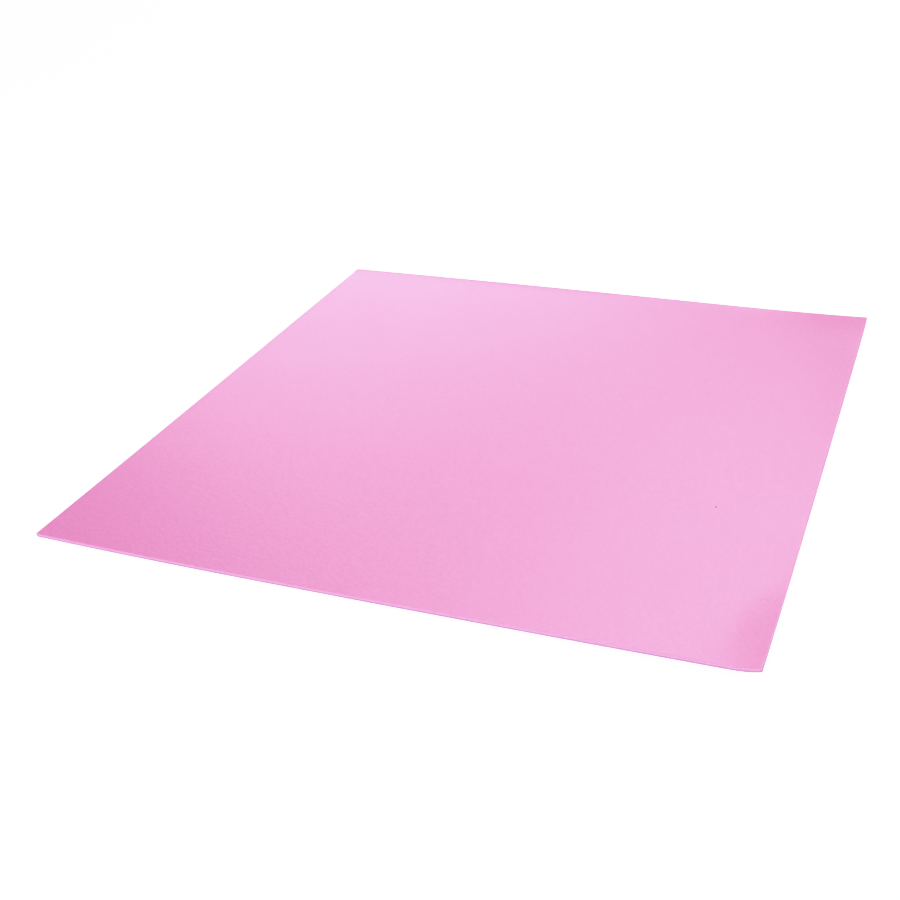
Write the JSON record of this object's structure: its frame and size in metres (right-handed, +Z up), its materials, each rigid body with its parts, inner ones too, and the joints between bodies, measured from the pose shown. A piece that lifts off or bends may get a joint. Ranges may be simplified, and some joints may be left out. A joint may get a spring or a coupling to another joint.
{
  "type": "scoring board",
  "caption": "Thin square plastic sheet, slightly yielding and satin on top, laid under card as the surface to score, emboss or pierce it on.",
  "frame": {"origin": "centre of the underside, the flat face that rests on the table", "axes": "+Z up, out of the work surface; +Y to the back edge and +X to the right edge, as the board lies in front of its user"},
  "size_m": [0.3048, 0.3048, 0.0015],
  "materials": {
    "pink_satin_plastic": "satin"
  },
  "bodies": {
    "root": {"scoring_sheet": "pink_satin_plastic"}
  },
  "joints": []
}
